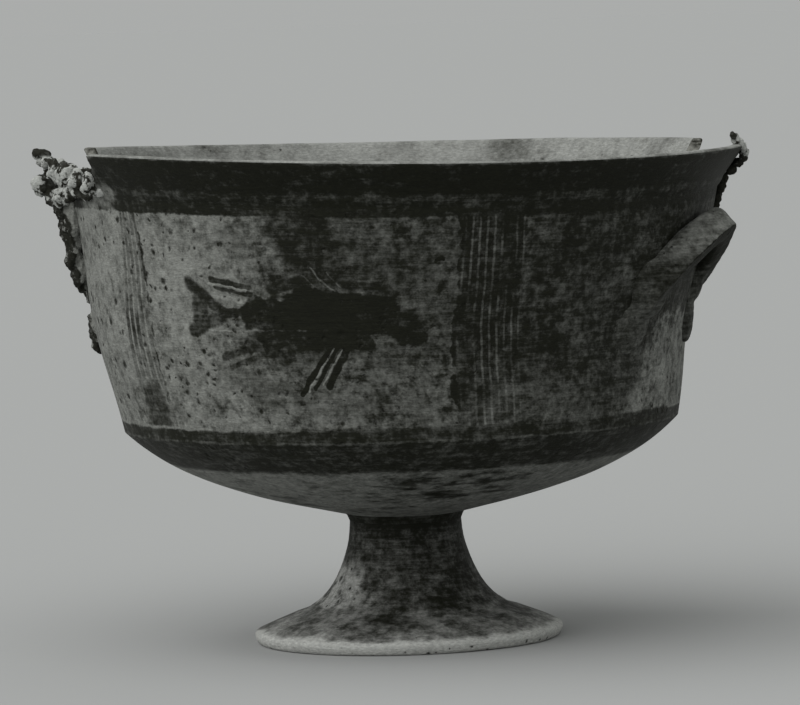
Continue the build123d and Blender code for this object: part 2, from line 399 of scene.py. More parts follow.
# The painted outside. Strokes are in degrees and millimetres, covers run from bare clay at 0 to
# full slip at 1.
pale_clay, dark_slip = (0.25, 0.256, 0.238), (0.0092, 0.0098, 0.0058)
washes = [
    ((2, 165), (8, 150), 5, 18, 0.92), ((14, 162), (30, 152), 8, 20, 0.76),
    ((17, 146), (30, 130), 8, 18, 0.77), ((3, 122), (26, 118), 4, 18, 0.76),
    ((4, 106), (28, 97), 7, 22, 0.62), ((-12, 112), (-4, 100), 2, 16, 0.62),
    ((-9, 158), (-4, 148), 2, 16, 0.58), ((26.6, 151.7), (27.4, 151.9), 0.9, 0.9, 1.3),
    ((26, 141.9), (26.8, 141.9), 0.6, 0.7, 1.3), ((-1, 127), (14, 134), 9, 16, 0.78)]
fish_body = [
    ((-5.5, 131.8), (10, 132), 5.0, 4.0, 1.02), ((1, 131.5), (16, 131.5), 7.2, 4.5, 1.08),
    ((-11.5, 131.5), (-6, 131.5), 1.8, 2.4, 0.95), ((16, 131), (22.5, 127), 4.4, 5.0, 1.0),
    ((21, 126), (28.5, 125.2), 0.5, 2.2, 0.98), ((24.2, 122.2), (25.6, 122.8), 1.6, 3.5, 0.95),
    ((-4, 121.4), (15, 120.8), 2.4, 3.2, 1.0), ((-7, 119.0), (1, 116.5), 1.6, 3.6, 0.86),
    ((4.5, 134), (10.5, 125), 6.0, 5.0, 1.2)]
fish_fins = [
    ((-2, 141), (6.5, 145.5), 1.5, 3.0, 0.92), ((7, 143.5), (19, 140.5), 1.0, 3.6, 0.88),
    ((-12.5, 132.5), (-19.6, 142.5), 1.2, 2.6, 0.85),
    ((-12.5, 130.5), (-19.2, 125.5), 1.6, 2.6, 0.84), ((-17, 137), (-17.4, 129), 2.6, 3.2, 0.80),
    ((-14.5, 144), (-6.5, 141), 0.6, 1.3, 0.85), ((-13.5, 141.4), (-6, 138.6), 0.5, 1.3, 0.85),
    ((-4, 121), (-13, 116.0), 0.9, 2.2, 0.82), ((-2, 118.5), (-12, 112.2), 0.5, 2.0, 0.78),
    ((8.6, 119.5), (1.8, 102.6), 0.6, 1.1, 1.15), ((10.0, 119.5), (4.6, 104.6), 0.5, 0.9, 1.1),
    ((11.8, 119), (7.4, 105.5), 0.9, 1.3, 1.05)]
scratches = [
    ((-15.5, 125.6), (11, 125.9), 0.10, 0.35, 0.34), ((5.0, 148.6), (6.6, 144.6), 0.08, 0.4, 0.5),
    ((6.6, 144.6), (9.6, 140.0), 0.08, 0.4, 0.36),
    ((8.0, 146.8), (10.6, 141.4), 0.08, 0.35, 0.26),
    ((3.6, 145.6), (6.6, 140.6), 0.08, 0.35, 0.24),
    ((-15.0, 142.6), (-7.2, 139.9), 0.22, 0.5, 0.62),
    ((-14, 138.5), (-8.6, 136.6), 0.5, 1.2, 0.4), ((9.2, 119), (3.1, 103.6), 0.15, 0.35, 0.55),
    ((10.7, 118.4), (6.3, 106.4), 0.15, 0.35, 0.55),
    ((-12, 136.8), (12, 137.6), 0.10, 0.35, 0.12)]
group_edges = [
    ((-32.8, 168), (-30.6, 140), 0.5, 1.8, 0.9), ((-30.4, 140), (-31.0, 100), 0.3, 1.6, 0.75),
    ((-36.0, 98), (-36.5, 88), 6.0, 8, 0.84), ((32.2, 168), (32.0, 88), 1.3, 1.8, 0.98)]
lip_wear = [
    ((-46, 170), (-38.5, 174), 2.0, 5.0, 0.42), ((-52, 167), (-40, 169), 1.0, 5.0, 0.5),
    ((-40, 180), (-37, 186), 0.5, 4.0, 0.3)]
spotted = [((-27, 140), (-10, 104), 12, 14, 0.6)]
painted_wall, tree, shader = finish_of("painted_wall")[:3]
point = wheel_point(tree)
where = apply_recipe(tree, pot_place, Point=point)
bearing, height, turned = where["Bearing"], where["Height"], where["Turned"]
shaky, swept = drift(tree, point, 260), drift(tree, point, 70)
hand = moved(tree, "ADD", where["Wall"], moved(tree, "ADD", moved(tree, "SCALE", shaky, 5.5),
                                               moved(tree, "SCALE", swept, 8.5)))
steady = moved(tree, "ADD", where["Wall"], moved(tree, "SCALE", shaky, 1.5))
wash = painted(tree, hand, washes)
fish = all_of(tree, [painted(tree, hand, fish_body), painted(tree, steady, fish_fins)])
scored = painted(tree, steady, scratches)
left_inside, left_lines = line_group(tree, -36.4, -42.4, -31.6, -30.0, 5, 0.2)
right_inside, right_lines = line_group(tree, 32.0, 32.0, 42.6, 44.2, 8, 0.2)
uneven = fade(tree, cloud(tree, point, 75, 3, 0.6, (1, 1, 0.35)), 0.38, 0.6)
blot = cloud(tree, point, 55, 4, 0.6)
mottled = cloud(tree, point, 150, 4, 0.75)

# The panel between the line groups, from pale at its left to dark at its right.
panel = plus(tree, fade(tree, bearing, -30.0, 6.0, 0.33, 0.58),
             fade(tree, bearing, 4.0, 24.0, 0.0, 0.12), swing(tree, blot, 1.1),
             swing(tree, mottled, 0.6))
cover = minus(tree, all_of(tree, [panel, wash, fish]), times(tree, scored, 0.72))
left_tone = times(tree, fade(tree, left_lines, 0.0, 1.0, 0.68, 0.10),
                  fade(tree, uneven, 0.0, 1.0, 0.75, 1.1))
cover = all_of(tree, [cover, times(tree, left_inside, left_tone),
                      painted(tree, hand, group_edges)])
right_tone = minus(tree, fade(tree, height, 128.0, 92.0, 0.95, 0.76),
                   times(tree, right_lines, fade(tree, uneven, 0.0, 1.0, 0.05, 0.23)))
cover = swapped(tree, right_inside, cover, right_tone)

# The dark wall round the handle, and the bare patch under it.
past_handle = times(tree, fade(tree, turned, 88.0, 90.0), fade(tree, turned, 139.0, 136.0))
right_zone = all_of(tree, [fade(tree, bearing, 43.0, 45.0), past_handle])
side_tone = minus(tree, fade(tree, blot, 0.35, 0.7, 0.92, 0.76),
                  fade(tree, height, 122.0, 96.0, 0.0, 0.12))
cover = swapped(tree, right_zone, cover, side_tone)
bare_edge = plus(tree, fade(tree, height, 88.0, 138.0, 70.5, 85.0), swing(tree, blot, 22.0))
bare_top = plus(tree, height, swing(tree, mottled, 30.0))
bare = times(tree, fade(tree, turned, minus(tree, bare_edge, 3.0), plus(tree, bare_edge, 5.0)),
             times(tree, fade(tree, bare_top, 130.0, 117.0), fade(tree, turned, 128.0, 120.0)))
cover = swapped(tree, bare, cover, plus(tree, 0.42, swing(tree, mottled, 1.2)))

# Spots, thickest at the panel's lower left.
spot_place = times(tree, fade(tree, cloud(tree, point, 30, 2), 0.36, 0.60),
                   plus(tree, 0.5, painted(tree, where["Wall"], spotted)))
nudged = moved(tree, "ADD", point, moved(tree, "SCALE", shaky, 0.004))
large_spots = apply_recipe(tree, pits, Point=point, Scale=190.0, Radius=0.40,
                           Share=times(tree, spot_place, 0.6))["Mask"]
small_spots = apply_recipe(tree, pits, Point=nudged, Scale=330.0, Radius=0.50,
                           Share=times(tree, spot_place, 0.8))["Mask"]
spots = all_of(tree, [large_spots, small_spots])
spots = times(tree, spots, fade(tree, height, 172.0, 166.0))
cover = all_of(tree, [cover, times(tree, spots, 0.9)])

# Bands below and above the panel, each ruled against the turning wheel.
wobbly = plus(tree, height, swing(tree, cloud(tree, point, 110, 4, 0.7), 2.6))
streaked = cloud(tree, point, 24, 4, 0.65, (1, 1, 5))
low_light = plus(tree, fade(tree, bearing, -40.0, 30.0, 0.30, 0.46),
                 fade(tree, streaked, 0.5, 0.68, 0.0, 0.5))
foot_line = fade(tree, bearing, -30.0, 20.0, 0.30, 0.80)
cover = banded(tree, wobbly, low_light, [
    (72.0, 0.90, 1.0), (83.9, 0.74, 0.4), (84.7, 0.88, 0.4), (88.6, foot_line, 0.5),
    (89.6, cover, 0.6), (166.6, 0.97, 0.5), (170.6, 0.92, 0.6), (172.2, 0.86, 0.6),
    (174.8, 1.02, 0.8), (185.6, 0.76, 0.5)])
cover = minus(tree, cover, painted(tree, hand, lip_wear))
clay = apply_recipe(tree, fired_clay, Point=point, Cover=cover, Wear=0.31, Marks=0.42,
                    Clay=(*pale_clay, 1), Slip=(*dark_slip, 1))
surfaced(tree, shader, clay["Color"], fade(tree, clay["Cover"], 0.0, 1.0, 0.92, 0.62),
         minus(tree, clay["Bump"], times(tree, spots, 0.8)), 0.0006)

worn_inside, tree, shader = finish_of("worn_inside")[:3]
point = wheel_point(tree)
where = apply_recipe(tree, pot_place, Point=point)
stain = cloud(tree, point, 45, 4, 0.6)
crumbs = apply_recipe(tree, pits, Point=point, Scale=260.0, Radius=0.3,
                      Share=fade(tree, stain, 0.4, 0.7, 0.0, 0.6))["Mask"]
inside_cover = plus(tree, fade(tree, where["Height"], 120.0, 60.0, 0.12, 0.5),
                    fade(tree, stain, 0.35, 0.75, 0.0, 0.5))
inside_cover = all_of(tree, [inside_cover, times(tree, crumbs, 0.7)])
clay = apply_recipe(tree, fired_clay, Point=point, Cover=inside_cover, Wear=0.24, Marks=0.3,
                    Clay=(0.28, 0.286, 0.27, 1), Slip=(0.03, 0.03, 0.024, 1))
surfaced(tree, shader, clay["Color"], 0.9, minus(tree, clay["Bump"], crumbs), 0.0006)

raw_break, tree, shader, point = finish_of("raw_break")
raw_cover = fade(tree, cloud(tree, point, 160, 3), 0.35, 0.65, 0.95, 0.3)
clay = apply_recipe(tree, fired_clay, Point=point, Cover=raw_cover, Wear=0.5, Marks=0.0,
                    Clay=(0.26, 0.26, 0.235, 1), Slip=(0.02, 0.02, 0.015, 1))
surfaced(tree, shader, clay["Color"], 0.95, cloud(tree, point, 420, 5, 0.7), 0.0012)

seat, keel = (0.0215, stem_top), (0.1065, keel_height)
neck, ridge = (0.124, 0.1708), (0.1264, 0.1747)
lip = [
    (0.1268, 0.1753), (0.1281, 0.1772), (0.1297, 0.1793), (0.1312, 0.1813), (0.1327, 0.1832),
    (0.1337, 0.1848), (0.1342, 0.1856), (0.1343, 0.1861), (0.1341, 0.1865), (0.1336, 0.1867)]
keel_in, neck_in = (0.1015, 0.0865), (0.119, 0.1708)
lip_in, floor_mid = (0.1298, 0.1858), (0, 0.056)
under = bend((keel, seat), ((0.08953, 0.06703), (0.06543, 0.05854)), 34)
inner = bend((floor_mid, keel_in), ((0.05, 0.056), (0.08453, 0.06953)), 30)
outline = ([(0, stem_top)] + straight((0, stem_top), seat, 4) + [seat] + under[::-1]
           + [(0.10615, 0.0836), keel, (0.10665, 0.08475)]
           + straight((0.1069, 0.0859), (0.1238, 0.1698), 48)
           + [(0.1238, 0.1698), neck, (0.1249, 0.1719), (0.1258, 0.1733), ridge] + lip
           + [(0.1331, 0.1868), (0.132, 0.1868), (0.1308, 0.1867), (0.1302, 0.1863), lip_in]
           + straight(lip_in, neck_in, 12) + [neck_in] + straight(neck_in, keel_in, 26)
           + [keel_in] + inner[::-1] + [floor_mid])
bowl = thrown("bowl_thrown", outline, bowl_turns)
bpy.ops.object.shade_smooth_by_angle(angle=math.radians(35))
bowl.data.materials.append(painted_wall)
bowl.data.materials.append(worn_inside)
for face in bowl.data.polygons:
    outwards = face.normal.x * face.center.x + face.normal.y * face.center.y
    outside = face.normal.z < 0.3 and (outwards > 0 or face.normal.z < -0.4)
    face.material_index = 0 if outside else 1


def around(bearing, radius, height):
    """The point at this bearing in degrees, 0 at the front and 90 at the whole handle."""
    angle = math.radians(bearing)
    return Vector((radius * math.sin(angle), -radius * math.cos(angle), height))


def lip_radius(drop):
    """The lip's outside radius this far below the rim."""
    return 0.1347 - drop * 9.0 / 12.3


def remeshed(piece, voxel):
    """Gives a piece an even skin of small faces."""
    skin = piece.modifiers.new("skin", "REMESH")
    skin.mode = "VOXEL"
    skin.voxel_size = voxel
    bpy.context.view_layer.objects.active = piece
    bpy.ops.object.modifier_apply(modifier=skin.name)


def break_off(pot, edge, raggedness):
    """Breaks the lip away above a line of bearings and depths below the rim."""
    middle = (edge[0][0] + edge[-1][0]) / 2
    bpy.ops.object.select_all(action="DESELECT")
    bpy.ops.mesh.primitive_plane_add(size=0.001)
    gone = bpy.context.object
    gone.name = pot.name + "_gone"
    line = [(lip_radius(drop) * math.sin(math.radians(bearing - middle)), rim_height - drop)
            for bearing, drop in edge]
    line = line + [(line[-1][0], 0.2), (line[0][0], 0.2)]
    bpy.ops.object.mode_set(mode="EDIT")
    bpy.ops.mesh.merge(type="CENTER")
    bpy.ops.transform.translate(value=(line[0][0], 0.09, line[0][1]))
    for (x0, z0), (x1, z1) in zip(line, line[1:]):
        bpy.ops.mesh.extrude_vertices_move(TRANSFORM_OT_translate={"value": (x1 - x0, 0, z1 - z0)})
    bpy.ops.mesh.select_all(action="SELECT")
    bpy.ops.mesh.edge_face_add()
    bpy.ops.mesh.extrude_region_move(TRANSFORM_OT_translate={"value": (0, 0.06, 0)})
    bpy.ops.mesh.select_all(action="SELECT")
    bpy.ops.mesh.normals_make_consistent(inside=False)
    bpy.ops.object.mode_set(mode="OBJECT")
    gone.rotation_euler = (0, 0, math.radians(middle - 180))
    settle(gone)
    remeshed(gone, 0.0011)
    gone.data.materials.append(raw_break)
    textured(gone, "CLOUDS", 0.006, raggedness)
    textured(gone, "CLOUDS", 0.0018, raggedness * 0.35)
    cut = pot.modifiers.new("break", "BOOLEAN")
    cut.operation = "DIFFERENCE"
    cut.solver = "MANIFOLD"
    cut.material_mode = "TRANSFER"
    cut.object = gone
    bpy.context.view_layer.objects.active = pot
    bpy.ops.object.modifier_apply(modifier=cut.name)
    bpy.data.objects.remove(gone)


left_break = [
    (-37.0, -0.008), (-37.3, 0.002), (-38.0, 0.0055), (-39.2, 0.0085), (-41.0, 0.0114),
    (-44.7, 0.0146), (-48, 0.0135), (-52, 0.0152), (-56, 0.013), (-61, 0.0148), (-67, 0.0132),
    (-74, 0.015), (-81, 0.0128), (-87, 0.0146), (-90.5, 0.0122), (-92.6, 0.009), (-94, 0.003),
    (-95, -0.008)]
right_break = [
    (105.5, -0.008), (106, 0.001), (106.6, 0.005), (107.6, 0.0085), (110, 0.0118), (114, 0.0095),
    (118, 0.0128), (123, 0.0108), (128, 0.0126), (131.5, 0.009), (133.5, 0.004), (135, -0.008)]
break_off(bowl, left_break, 0.0032)
break_off(bowl, right_break, 0.0026)
textured(bowl, "CLOUDS", 0.045, 0.0008)
kept = bowl.data.attributes.new("on_the_wheel", "FLOAT_VECTOR", "POINT")
for corner, mark in zip(bowl.data.vertices, kept.data):
    mark.vector = corner.co
sag(bowl)
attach(bowl, "root")
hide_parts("bowl")


# Foot, thrown apart as a hollow trumpet and turned while leather hard. Its edge is worn and chipped
# where the cup was set down for years.
stem_side = [
    (0.0215, stem_top), (0.0216, 0.0455), (0.0219, 0.0419), (0.0223, 0.039), (0.0229, 0.0362),
    (0.0237, 0.0335), (0.0246, 0.0308), (0.0257, 0.028), (0.0271, 0.025), (0.0285, 0.0225),
    (0.0302, 0.02), (0.0317, 0.0182), (0.0333, 0.0165), (0.035, 0.0151), (0.037, 0.0138)]
foot_side = [
    (0.0392, 0.0123), (0.0421, 0.0113), (0.045, 0.0104), (0.0477, 0.0093), (0.0504, 0.0082),
    (0.0531, 0.0071), (0.0558, 0.0059), (0.0577, 0.0051), (0.0589, 0.0045), (0.0594, 0.0036),
    (0.0593, 0.0026), (0.0588, 0.0012), (0.058, 0.0003), (0.0572, 0), (0.054, 0),
    (0.0536, 0.0004)]
hollow = bend(((0.0535, 0), (0, 0.039)), ((0.031, 0.0069), (0.012, 0.039)), 20)
hollow_top = (0, 0.039)
outline = [(0, stem_top)] + stem_side + foot_side + hollow + [hollow_top]
pedestal = thrown("pedestal_thrown", outline, 300)
bpy.ops.object.mode_set(mode="EDIT")
bpy.ops.mesh.select_all(action="SELECT")
bpy.ops.mesh.normals_make_consistent(inside=False)
bpy.ops.object.mode_set(mode="OBJECT")
bpy.ops.object.shade_smooth_by_angle(angle=math.radians(40))
textured(pedestal, "CLOUDS", 0.03, 0.0005)
bpy.ops.object.mode_set(mode="EDIT")
bpy.ops.mesh.select_all(action="SELECT")
bpy.ops.transform.translate(value=(0, 0, 0.00014))
bpy.ops.object.mode_set(mode="OBJECT")
worn_foot, tree, shader, point = finish_of("worn_foot")
where = apply_recipe(tree, pot_place, Point=point)
split = tree.nodes.new("ShaderNodeSeparateXYZ")
joined(tree, split.inputs[0], point)
level = plus(tree, where["Height"], swing(tree, cloud(tree, point, 70, 3), 5.0))
lit_side = fade(tree, split.outputs[0], 0.012, -0.022)
blot = cloud(tree, point, 90, 4, 0.6)
patch = times(tree, lit_side, fade(tree, level, 12.0, 16.0), fade(tree, level, 36.0, 24.0))
stem_cover = minus(tree, fade(tree, level, 40.0, 47.0, 0.86, 1.0),
                   times(tree, patch, fade(tree, blot, 0.36, 0.56, 0.05, 0.56)))
foot_cover = plus(tree, fade(tree, blot, 0.35, 0.68, 0.54, 0.78),
                  fade(tree, level, 4.0, 13.0, -0.04, 0.10))
foot_cover = minus(tree, foot_cover, times(tree, lit_side, 0.05))
foot_cover = minus(tree, foot_cover, fade(tree, level, 6.4, 3.8, 0.0, 0.9))
foot_cover = swapped(tree, fade(tree, level, 15.5, 13.5), stem_cover, foot_cover)
stem_holes = apply_recipe(tree, pits, Point=point, Scale=230.0, Radius=0.44,
                          Share=times(tree, patch, 0.85))["Mask"]
edge_holes = apply_recipe(tree, pits, Point=point, Scale=330.0, Radius=0.3,
                          Share=fade(tree, level, 3.5, 1.0, 0.1, 0.7))["Mask"]
holes = all_of(tree, [stem_holes, edge_holes])
foot_cover = all_of(tree, [foot_cover, times(tree, holes, 0.85)])
clay = apply_recipe(tree, fired_clay, Point=point, Cover=foot_cover, Wear=0.24, Marks=0.2,
                    Clay=(0.42, 0.425, 0.405, 1), Slip=(*dark_slip, 1))
surfaced(tree, shader, clay["Color"], fade(tree, clay["Cover"], 0.0, 1.0, 0.92, 0.66),
         minus(tree, clay["Bump"], times(tree, holes, 0.9)), 0.0007)
pedestal.data.materials.append(worn_foot)
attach(pedestal, "root")
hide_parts("pedestal_foot")


# Joint clay: a ring of soft clay smoothed with a wet finger where the stem was luted to the bowl,
# and slipped dark with it.
joint_outline = [
    (0.0188, 0.0462), (0.0213, 0.0458), (0.0217, 0.0466), (0.0221, 0.0476), (0.0226, 0.0486),
    (0.0231, 0.0493), (0.0188, 0.0493), (0.0188, 0.0462)]
joint = thrown("joint_clay", joint_outline, 160)
bpy.ops.object.shade_smooth_by_angle(angle=math.radians(50))
joint_finish, tree, shader, point = finish_of("joint_slip")
joint_cover = fade(tree, cloud(tree, point, 140, 3), 0.3, 0.7, 1.05, 0.8)
clay = apply_recipe(tree, fired_clay, Point=point, Cover=joint_cover, Wear=0.2, Marks=0.2,
                    Clay=(*pale_clay, 1), Slip=(*dark_slip, 1))
surfaced(tree, shader, clay["Color"], 0.75, clay["Bump"], 0.0006)
joint.data.materials.append(joint_finish)
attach(joint, "root")
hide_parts("stem_joint_clay")


# Whole handle: a hand-rolled bar of clay squeezed to a ridge along its outside, bent into a loop
# and pressed on to the wall, its roots smeared out with the thumb.
def bar(name, loop, widths, thick, wide):
    """A ridged bar along a flat loop: x along the wall, y up the slope."""
    corners = [(-0.83, 0.90), (-1.0, 0.0), (-1.02, -0.40), (-0.86, -0.76), (-0.5, -0.95),
               (0.5, -0.95), (0.84, -0.7), (0.95, -0.25), (0.93, 0.35), (0.75, 0.7),
               (0.4, 0.86), (-0.2, 0.9)]
    bpy.ops.object.select_all(action="DESELECT")
    bpy.ops.curve.primitive_bezier_circle_add(radius=1)
    section = bpy.context.object
    section.data.splines.clear()
    ring = section.data.splines.new("POLY")
    ring.points.add(len(corners) - 1)
    for point, (x, y) in zip(ring.points, corners):
        point.co = (x * wide, y * thick, 0, 1)
    ring.use_cyclic_u = True
    section.data.dimensions = "2D"
    bpy.ops.object.select_all(action="DESELECT")
    bpy.ops.curve.primitive_nurbs_path_add()
    path = bpy.context.object
    path.name = name
    path.data.splines.clear()
    spine = path.data.splines.new("POLY")
    spine.points.add(len(loop) - 1)
    for point, (x, y), width in zip(spine.points, loop, widths):
        point.co = (x, y, 0, 1)
        point.radius = width
    path.data.dimensions = "2D"
    path.data.bevel_mode = "OBJECT"
    path.data.bevel_object = section
    path.data.use_fill_caps = True
    bpy.ops.object.select_all(action="DESELECT")
    path.select_set(True)
    bpy.context.view_layer.objects.active = path
    bpy.ops.object.convert(target="MESH")
    made = bpy.context.object
    bpy.data.objects.remove(section)
    return made


half_span, reach, wall_lean = 0.0295, 0.0252, 0.2016


def on_the_wall(piece, side, height, slope):
    """Tilts a flat handle and sets it on the wall. side is 1 at the whole handle, -1 opposite."""
    wall_radius = keel[0] + (height - keel_height) * wall_lean
    root_x = math.sqrt(wall_radius ** 2 - half_span ** 2)
    out, up = math.cos(math.radians(slope)), math.sin(math.radians(slope))
    along, rise = Vector((0, 1, 0)), Vector((side * out, 0, up))
    square = along.cross(rise)
    turn = Matrix((along, rise, square)).transposed().to_4x4()
    piece.matrix_world = Matrix.Translation((side * root_x, 0, height)) @ turn
    settle(piece)


def blob(place, sizes, tilt=(0, 0, 0)):
    """An egg of clay."""
    bpy.ops.object.select_all(action="DESELECT")
    bpy.ops.mesh.primitive_ico_sphere_add(subdivisions=4, radius=1, location=place, rotation=tilt)
    egg = bpy.context.object
    egg.scale = sizes
    settle(egg)
    return egg


def pressed_together(name, pieces, voxel, rounds):
    """Joins lumps of clay into one skin and smooths it."""
    bpy.ops.object.select_all(action="DESELECT")
    for piece in pieces:
        piece.select_set(True)
    bpy.context.view_layer.objects.active = pieces[0]
    bpy.ops.object.join()
    whole = bpy.context.object
    whole.name = name
    remeshed(whole, voxel)
    if rounds:
        soft = whole.modifiers.new("soft", "SMOOTH")
        soft.factor = 0.5
        soft.iterations = rounds
        bpy.ops.object.modifier_apply(modifier=soft.name)
    bpy.ops.object.select_all(action="DESELECT")
    whole.select_set(True)
    bpy.context.view_layer.objects.active = whole
    bpy.ops.object.shade_smooth_by_angle(angle=math.radians(60))
    return whole


near_bend = range(0, 90, 6)
far_bend = range(90, 181, 6)
far_share, far_width = 0.8, 0.76


def loop_point(angle, share):
    """Where the loop is at this angle round it. share narrows an arm."""
    cos, sin = math.cos(math.radians(angle)), math.sin(math.radians(angle))
    return (-half_span * math.copysign(abs(cos) ** 1.4, cos) * share, reach * sin ** 1.4)


loop = ([(-half_span, -0.007), (-half_span, -0.003)] + [loop_point(a, 1) for a in near_bend]
        + [loop_point(a, far_share) for a in far_bend]
        + [(half_span * far_share, -0.003), (half_span * far_share, -0.007)])
widths = ([1.22, 1.2] + [1.0 + 0.2 * math.cos(math.radians(a)) ** 2 for a in near_bend]
          + [1.0 + 0.22 * math.cos(math.radians(a)) for a in far_bend] + [far_width, far_width])
grip = bar("right_handle_loop", loop, widths, 0.0065, 0.0065)
on_the_wall(grip, 1, 0.1368, 53)
roots = [blob(around(75.0, 0.1158, 0.137), (0.0066, 0.0112, 0.0125), (0, 0, math.radians(-15))),
         blob(around(72.8, 0.1112, 0.1275), (0.0052, 0.0120, 0.0170),
              (math.radians(-26), 0, math.radians(-17))),
         blob(around(101.0, 0.1160, 0.136), (0.0040, 0.0078, 0.0086), (0, 0, math.radians(11))),
         blob(around(100.0, 0.1128, 0.1265), (0.0042, 0.0080, 0.0145), (0, 0, math.radians(10)))]
handle = pressed_together("right_handle_loop", [grip] + roots, 0.0006, 1)
textured(handle, "CLOUDS", 0.014, 0.0006)
textured(handle, "CLOUDS", 0.0025, 0.0003)
handle_finish, tree, shader, point = finish_of("slipped_handle")
split = tree.nodes.new("ShaderNodeSeparateXYZ")
joined(tree, split.inputs[0], point)
height = split.outputs[2]
facing = tree.nodes.new("ShaderNodeSeparateXYZ")
joined(tree, facing.inputs[0], tree.nodes.new("ShaderNodeNewGeometry").outputs["Normal"])
# Rubbed wear in pale patches, with a painted highlight: the handle grows paler towards its top,
# where the light falls.
rubbed_and_lit_top = times(tree, fade(tree, cloud(tree, point, 170, 5, 0.75), 0.32, 0.68, 0.55, 1.0),
               fade(tree, fade(tree, height, 0.138, 0.158), 0.0, 1.0, 0.08, 0.50))
# Painted shade: the handle's downward-facing faces near its top get more dark slip, as shade would
# darken them.
painted_underside_shade = times(tree, fade(tree, facing.outputs[2], 0.2, -0.2, 0.0, 0.45),
                  fade(tree, height, 0.140, 0.152))
handle_cover = minus(tree, fade(tree, cloud(tree, point, 60, 3), 0.35, 0.65, 0.96, 0.86), rubbed_and_lit_top)
handle_cover = minus(tree, handle_cover, fade(tree, height, 0.142, 0.128, 0.0, 0.08))
cracks = apply_recipe(tree, pits, Point=point, Scale=420.0, Radius=0.3, Share=0.2)["Mask"]
handle_cover = all_of(tree, [plus(tree, handle_cover, painted_underside_shade), cracks])
clay = apply_recipe(tree, fired_clay, Point=point, Cover=handle_cover, Wear=0.24, Marks=0.0,
                    Clay=(*pale_clay, 1), Slip=(*dark_slip, 1))
surfaced(tree, shader, clay["Color"], 0.72, minus(tree, clay["Bump"], cracks), 0.0008)
handle.data.materials.append(handle_finish)
sag(handle)
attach(handle, "root")
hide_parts("right_handle", "right_handle_root_clay")


# Broken handle: the near arm still clings to the wall, the far one is a short stump. Both ends are
# rough where the loop snapped.
near_loop = [(-half_span * math.cos(math.radians(a)), reach * math.sin(math.radians(a)))
             for a in (0, 10, 20, 30, 40, 50, 58)]
near_arm = bar("left_stub", near_loop, [0.8, 0.8, 0.82, 0.85, 0.85, 0.8, 0.7], 0.0055, 0.0062)
on_the_wall(near_arm, -1, 0.1405, 70)
far_arm = bar("left_stub_far", [(half_span, -0.004), (half_span, 0), (half_span - 0.0003, 0.004),
                                (half_span - 0.001, 0.008)], [1, 1, 0.95, 0.8], 0.0058, 0.0064)
on_the_wall(far_arm, -1, 0.139, 66)
scars = [
    blob(around(-75, 0.1165, 0.139), (0.003, 0.009, 0.009), (0, 0, math.radians(-165))),
    blob(around(-74, 0.1135, 0.122), (0.0035, 0.009, 0.011), (0, 0, math.radians(-164))),
    blob(around(-104.6, 0.1165, 0.137), (0.006, 0.0105, 0.012), (0, 0, math.radians(-194.6))),
    blob(around(-70, 0.1262, 0.1668), (0.0048, 0.0115, 0.0072), (0, 0, math.radians(-160))),
    blob(around(-71, 0.1248, 0.1590), (0.0046, 0.0110, 0.0082), (0, 0, math.radians(-161))),
    blob(around(-70, 0.1228, 0.1515), (0.0042, 0.0100, 0.0085), (0, 0, math.radians(-160))),
    blob(around(-70, 0.1195, 0.1435), (0.0036, 0.0085, 0.0085), (0, 0, math.radians(-160))),
    blob(around(-66, 0.1232, 0.1640), (0.0030, 0.0085, 0.0085), (0, 0, math.radians(-156)))]
stubs = pressed_together("left_handle_stub", [near_arm, far_arm] + scars, 0.0006, 2)
textured(stubs, "CLOUDS", 0.007, 0.0034)
textured(stubs, "CLOUDS", 0.0022, 0.0022)
snapped, tree, shader, point = finish_of("snapped_clay")
depth = tree.nodes.new("ShaderNodeNewGeometry").outputs["Pointiness"]
flecks = fade(tree, cloud(tree, point, 240, 4, 0.7), 0.52, 0.62)
snapped_cover = minus(tree, 1.0, times(tree, flecks, fade(tree, depth, 0.46, 0.56, 0.3, 0.95)))
split = tree.nodes.new("ShaderNodeSeparateXYZ")
joined(tree, split.inputs[0], point)
wall = fade(tree, split.outputs[2], keel_height, 0.184, keel[0], 0.1267)
wall.node.interpolation_type = "LINEAR"
radius = moved(tree, "LENGTH", moved(tree, "MULTIPLY", point, (1, 1, 0)))
from_wall = plus(tree, minus(tree, radius, wall), swing(tree, cloud(tree, point, 170, 3), 0.008))
snapped_cover = times(tree, snapped_cover, fade(tree, from_wall, 0.0018, 0.0036, 0.12, 1.0))
clay = apply_recipe(tree, fired_clay, Point=point, Cover=snapped_cover, Wear=0.3, Marks=0.0,
                    Clay=(0.26, 0.265, 0.245, 1), Slip=(0.018, 0.0185, 0.014, 1))
surfaced(tree, shader, clay["Color"], 0.93, cloud(tree, point, 500, 5, 0.7), 0.001)
stubs.data.materials.append(snapped)
sag(stubs)
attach(stubs, "root")
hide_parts("left_handle_stubs", "left_handle_root_clay")


